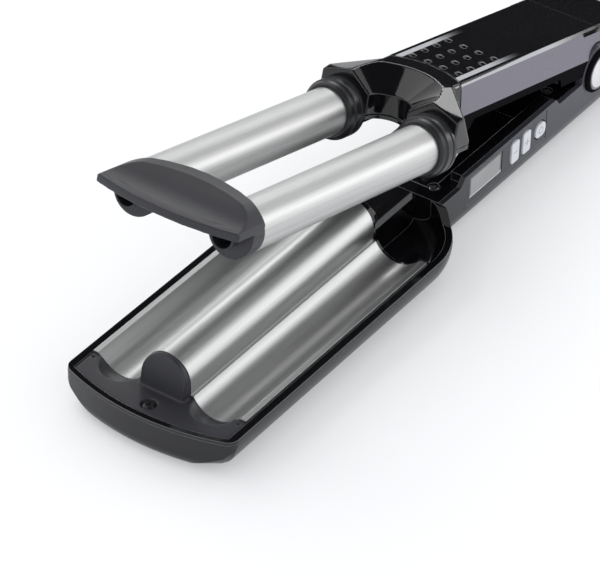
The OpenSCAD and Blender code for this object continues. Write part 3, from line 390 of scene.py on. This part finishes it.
def key_plastic(name, middle, mark):
    """Pale pearl plastic with its mark pressed in."""
    f = Finish(name, {"IOR": 1.5})
    at = f.place()
    cloud = f.noise(at, 300, 3.0, 0.5)
    along = (f.axis(at, "Y") - middle.y).math("ABSOLUTE")
    high = (f.axis(at, "Z") - middle.z).math("ABSOLUTE")

    def bar(longways, crossways):
        in_length = 1 - f.band(longways, 1.4 * MM, 1.5 * MM)
        return in_length * (1 - f.band(crossways, 0.2 * MM, 0.3 * MM))

    if mark == "ring":
        radius = (along * along + high * high).math("SQRT")
        pressed = f.inside(radius, 1.2 * MM, 1.6 * MM, 0.1 * MM)
    else:
        pressed = bar(along, high)
        if mark == "cross":
            pressed = pressed.math("MAXIMUM", bar(high, along))
    pearl = f.mix(cloud, (0.62, 0.63, 0.67), (0.78, 0.79, 0.82))
    f.feed("Base Color", f.mix(pressed * 0.6, pearl, (0.25, 0.25, 0.27)))
    f.feed("Roughness", cloud * 0.1 + 0.15)
    f.feed("Normal", f.bump(1 - pressed, 0.0001, 0.6, f.round_edges(0.0002)))
    return f.done()


def hinge_face(name):
    """Polished disc with a grey ring; the dark surround is painted shade, standing in for the
    shadowed gap around the disc.
    """
    f = Finish(name, {"Metallic": 1.0})
    reach = f.node("VectorMath", {"operation": "SUBTRACT"}, {0: f.place(), 1: tuple(HINGE)})
    reach = f.node("VectorMath", {"operation": "MULTIPLY"}, {0: reach, 1: (0, 1, 1)})
    radius = f.node("VectorMath", {"operation": "LENGTH"}, {0: reach}, out="Value")
    turned = f.noise(f.place(0, (1, 1, 6)), 1500, 2.0, 0.6)
    ring = f.band(radius, 6.8 * MM, 7.1 * MM)
    # painted shade: beyond 8 mm the face turns matt black, as the shadowed gap around the disc
    gap_shade = f.band(radius, 8.0 * MM, 8.2 * MM)
    colour = f.mix(ring, (0.82, 0.82, 0.84), (0.30, 0.30, 0.31))
    f.feed("Base Color", f.mix(gap_shade, colour, JET))
    f.feed("Roughness", turned * 0.15 + 0.2)
    f.feed("Normal", f.bump(turned, 0.00001, 0.3, f.round_edges(0.0002)))
    return f.done(f.dulled(gap_shade))


# ---------------------------------------------------------------- which sub-part has which finish
def dress_nodes():
    steel = turned_metal("screw_steel", (0.5, 0.5, 0.51))
    black_steel = turned_metal("black_screw", (0.10, 0.10, 0.11), 0.3)
    finishes = {
        grained_plastic("shell_satin", (0.012, 0.012, 0.014), 0.30, edge_highlight=EDGE_HIGHLIGHT_GREY,
                        rear=(0.06, 0.06, 0.075)): ("lower_housing", "control_bezel"),
        gloss_plastic("gloss_black", JET, edge_highlight=EDGE_HIGHLIGHT_GREY):
            ("tray_frame", "lower_handle_cover", "collar_upper", "collar_lower", "upper_liner"),
        handle_gloss("handle_gloss"): ("upper_housing",),
        brushed_metal("plate_titanium", 0.0, SATIN_TITANIUM, 0.36): ("wave_plate",),
        brushed_metal("barrel_titanium", JAW_OPEN, SATIN_TITANIUM, 0.46):
            ("barrel_left", "barrel_right"),
        grained_plastic("matte_dark", (0.026, 0.026, 0.032), 0.40, 0.00003, 0.0009):
            ("front_end_cap", "tip_bridge", "tip_carrier"),
        grained_plastic("ferrule_dark", (0.016, 0.016, 0.019), 0.30, 0.00002):
            ("ferrule_left", "ferrule_right"),
        black_steel: ("end_cap_screw",),
        steel: ("housing_screws", "collar_screws", "liner_screws", "tip_screws", "hinge_pin",
                "hinge_spring"),
        mottled("heater_ceramic", (0.85, 0.83, 0.76), 0.8, 300):
            ("plate_heaters", "barrel_heaters"),
        mottled("mica_sheet", (0.7, 0.62, 0.45), 0.5, 200): ("heater_insulator",),
        turned_metal("block_aluminium", (0.75, 0.75, 0.76), 0.3):
            ("heater_clamp", "heat_blocks"),
        turned_metal("fuse_tin", (0.72, 0.62, 0.38)): ("thermal_fuse",),
        grained_plastic("sensor_blue", (0.10, 0.2, 0.36)): ("plate_sensor", "barrel_sensor"),
        circuit_board("board_green"): ("control_board",),
        liquid_crystal("display_grey"): ("display_module",),
        window_clear("window_clear"): ("display_window",),
        grained_plastic("switch_black", (0.03, 0.03, 0.03)): ("tact_switches",),
        hinge_face("cap_silver"): ("hinge_cap_left", "hinge_cap_right"),
        grained_plastic("gland_rubber", (0.02, 0.02, 0.02), 0.6):
            ("cord_swivel", "gland_retainer"),
        gloss_plastic("button_pale", (0.72, 0.73, 0.76), 0.15):
            ("button_minus", "button_plus", "button_power"),
    }
    for material, names in finishes.items():
        for name in names:
            slots = NODES[name].data.materials
            slots.clear()
            slots.append(material)
    dressed = [name for names in finishes.values() for name in names]
    missing = sorted(set(NODES) - set(dressed))
    if missing:
        raise RuntimeError(f"no finish for {missing}")


# ---------------------------------------------------------------- moulded forms
def new_piece(name, mesh):
    piece = bpy.data.objects.new(name, mesh)
    bpy.context.scene.collection.objects.link(piece)
    return piece


def moulded(name, grid, passes):
    """Stands for a CAD sub-part with the same form, its edges rounded as a moulding's are."""
    source = NODES[name]
    shape = bmesh.new()
    shape.from_mesh(source.data)
    bmesh.ops.remove_doubles(shape, verts=shape.verts, dist=0.001 * MM)
    mesh = bpy.data.meshes.new(name + "_form")
    shape.to_mesh(mesh)
    shape.free()
    piece = new_piece(name + "_moulded", mesh)
    remesh = piece.modifiers.new("grid", "REMESH")
    remesh.mode = "VOXEL"
    remesh.voxel_size = grid
    remesh.use_smooth_shade = True
    soften = piece.modifiers.new("soften", "SMOOTH")
    soften.factor = 0.5
    soften.iterations = passes
    thin = piece.modifiers.new("thin", "DECIMATE")
    thin.ratio = 0.3
    view = bpy.context.evaluated_depsgraph_get()
    piece.data = bpy.data.meshes.new_from_object(piece.evaluated_get(view))
    piece.modifiers.clear()
    piece.data.materials.clear()
    piece.data.materials.append(source.data.materials[0])
    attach(piece, source["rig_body"])
    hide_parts(name)


def skinned(name, rings, body, material):
    """A closed piece over rings of equal size, riding on a body."""
    size = len(rings[0])
    corners = [at for ring in rings for at in ring]
    faces = [(a * size + k, a * size + (k + 1) % size,
              (a + 1) * size + (k + 1) % size, (a + 1) * size + k)
             for a in range(len(rings) - 1) for k in range(size)]
    faces.append(tuple(range(size - 1, -1, -1)))
    faces.append(tuple(range(len(corners) - size, len(corners))))
    mesh = bpy.data.meshes.new(name)
    mesh.from_pydata(corners, [], faces)
    mesh.validate()
    mesh.materials.append(material)
    piece = new_piece(name, mesh)
    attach(piece, body)
    return piece


def opened(at):
    """Where a point drawn with the jaw closed, in mm, lies at rest."""
    return HINGE + Matrix.Rotation(-JAW_OPEN, 3, "X") @ (Vector(at) * MM - HINGE)


def handle_rear():
    """The upper handle's flat top runs on over the tail, with a rounded rear edge."""
    underside = 36.5
    outline = [(-17.93, underside), (-17.2, 38.2), (-16.2, 39.5),
               (16.2, 39.5), (17.2, 38.2), (17.93, underside)]
    # along the handle, with how far the top and the sides have drawn in there
    stations = ((123, 0), (150.5, 0), (152.4, 0.3), (153.5, 0.9), (154, 1.7))
    side_share = 0.8
    rings = [[opened((x - math.copysign(drop * side_share, x), y, max(underside, z - drop)))
              for x, z in outline] for y, drop in stations]
    source = NODES["upper_housing"]
    skinned("upper_handle_rear", rings, source["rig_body"], source.data.materials[0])


def keycap(node, length, height, corner, mark):
    """A moulded keycap with an engraved mark, standing in its dark hole."""
    low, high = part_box(node)
    middle = (low + high) / 2
    corner_steps = 6
    quarters = ((1, 1), (-1, 1), (-1, -1), (1, -1))
    # depth below the key's face, and how far the outline has drawn in there
    profile = ((2.2 * MM, 0), (0.3 * MM, 0), (0.1 * MM, 0.1 * MM), (0, 0.3 * MM))
    rings = []
    for depth, inset in profile:
        ring = []
        for quarter, (sign_y, sign_z) in enumerate(quarters):
            for step in range(corner_steps + 1):
                angle = (quarter + step / corner_steps) * math.pi / 2
                out_y = (corner - inset) * math.cos(angle)
                out_z = (corner - inset) * math.sin(angle)
                ring.append((high.x - depth,
                             middle.y + sign_y * (length / 2 - corner) + out_y,
                             middle.z + sign_z * (height / 2 - corner) + out_z))
        rings.append(ring)
    piece = skinned(node + "_cap", rings, NODES[node]["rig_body"],
                    key_plastic(node + "_pale", middle, mark))
    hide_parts(node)


# ---------------------------------------------------------------- studio
def flat_piece(name, corners, finish):
    """A flat card or floor of the studio."""
    mesh = bpy.data.meshes.new(name)
    mesh.from_pydata(corners, [], [range(len(corners))])
    mesh.materials.append(finish.done())
    piece = new_piece(name, mesh)
    return piece


def card(name, corners, colour, strength):
    """A studio card, seen only in reflections."""
    finish = Finish(name + "_face", {"Base Color": (*colour, 1), "Roughness": 0.9,
                                     "Emission Color": (*colour, 1),
                                     "Emission Strength": strength})
    piece = flat_piece(name, corners, finish)
    piece.visible_camera = False
    piece.visible_diffuse = False
    piece.visible_shadow = False


def floor():
    """A pale floor that glows a little, so that the shadow on it stays light."""
    pale = (0.66, 0.66, 0.665)
    glow = 0.32
    half = 4.0
    f = Finish("floor_sweep", {"Roughness": 0.6, "Specular IOR Level": 0.2,
                               "Emission Color": (*WHITE, 1), "Emission Strength": glow})
    f.feed("Base Color", f.mix(f.noise(f.place(), 1.5, 2.0, 0.5), pale, tinted(pale, 1.01)))
    corners = [(-half, -half, 0), (half, -half, 0), (half, half, 0), (-half, half, 0)]
    flat_piece("floor", corners, f).location.z = -0.2 * MM


def lamp(name, at, towards, width, height, power, colour):
    data = bpy.data.lights.new(name, "AREA")
    data.shape = "RECTANGLE"
    data.size = width
    data.size_y = height
    data.energy = power
    data.color = colour
    made = new_piece(name, data)
    made.location = at
    made.rotation_euler = (Vector(towards) - Vector(at)).to_track_quat("-Z", "Y").to_euler()


def sky():
    """Pale blue fill light, and plain white where the camera or a reflection sees it."""
    world = bpy.data.worlds.new("studio")
    bpy.context.scene.world = world
    nodes = Nodes(world)
    fill = nodes.node("Background", {}, {"Color": (0.94, 0.965, 1.0, 1), "Strength": 0.88})
    white = nodes.node("Background", {}, {"Color": (*WHITE, 1), "Strength": 1.0})
    direct, glossy, through = (nodes.node("LightPath", {}, {}, out=f"Is {ray} Ray")
                               for ray in ("Camera", "Glossy", "Transmission"))
    seen = direct.math("MAXIMUM", glossy.math("MAXIMUM", through))
    surface = nodes.node("MixShader", {}, {0: seen, 1: fill, 2: white})
    nodes.node("OutputWorld", {}, {"Surface": surface}, out=None)


def studio():
    sky()
    floor()
    # the key hangs high on the left and a little behind, so the shadow falls to the right
    lamp("key", (-1.05, 0.15, 1.7), (0, 0, 0), 1.2, 1.6, 10, (1, 0.985, 0.965))
    lamp("front", (-0.5, -1.9, 1.3), (0, 0, 0), 1.8, 1.8, 6, (0.97, 0.985, 1))
    lamp("side", (2.0, 1.6, 0.75), (0, 0, 0.03), 1.6, 1.6, 5, (0.95, 0.975, 1))
    lamp("back", (1.14, 1.87, 0.36), (0, 0, 0.05), 0.5, 0.36, 3, (1, 0.99, 0.98))
    # dark ceiling and rear curtain with a light strip, seen in the polished faces only
    ceiling = 2.4
    left, right, front, rear = -3.2, 2.2, -2.2, 3.4
    card("ceiling", [(left, front, ceiling), (right, front, ceiling), (right, rear, ceiling),
                     (left, rear, ceiling)], STUDIO_DARK, 0)
    strip_low, strip_high = 0.95, 1.75
    for name, low, high, colour, strength in (
            ("curtain_low", 0.1, strip_low, STUDIO_DARK, 0),
            ("strip_light", strip_low, strip_high, WHITE, 3.0),
            ("curtain_high", strip_high, ceiling, STUDIO_DARK, 0)):
        left_end, right_end = (-2.3, 2.0), (-0.26, 3.1)
        card(name, [(*left_end, low), (*right_end, low), (*right_end, high), (*left_end, high)],
             colour, strength)


def camera():
    right = Vector((math.cos(CAMERA_AZIMUTH), math.sin(CAMERA_AZIMUTH), 0))
    forward = Vector((-math.sin(CAMERA_AZIMUTH) * math.cos(CAMERA_ELEVATION),
                      math.cos(CAMERA_AZIMUTH) * math.cos(CAMERA_ELEVATION),
                      -math.sin(CAMERA_ELEVATION)))
    up = right.cross(forward)
    rolled_right = right * math.cos(CAMERA_ROLL) + up * math.sin(CAMERA_ROLL)
    rolled_up = up * math.cos(CAMERA_ROLL) - right * math.sin(CAMERA_ROLL)
    turned = Matrix((rolled_right, rolled_up, -forward)).transposed().to_4x4()
    data = bpy.data.cameras.new("camera")
    data.sensor_fit = "HORIZONTAL"
    data.sensor_width = SENSOR_MM
    data.lens = CAMERA_LENS_MM
    data.clip_start = 0.05
    made = new_piece("camera", data)
    made.matrix_world = Matrix.Translation(CAMERA_AT) @ turned
    bpy.context.scene.camera = made


camera()
dress_nodes()
handle_rear()
keycap("button_minus", 5.6 * MM, 10.0 * MM, 1.2 * MM, "bar")
keycap("button_plus", 5.6 * MM, 10.0 * MM, 1.2 * MM, "cross")
keycap("button_power", 7.4 * MM, 6.4 * MM, 2.6 * MM, "ring")
moulded("collar_upper", 0.35 * MM, 12)
moulded("front_end_cap", 0.35 * MM, 5)
moulded("tip_bridge", 0.30 * MM, 5)
studio()
bpy.context.scene.view_settings.view_transform = "Standard"
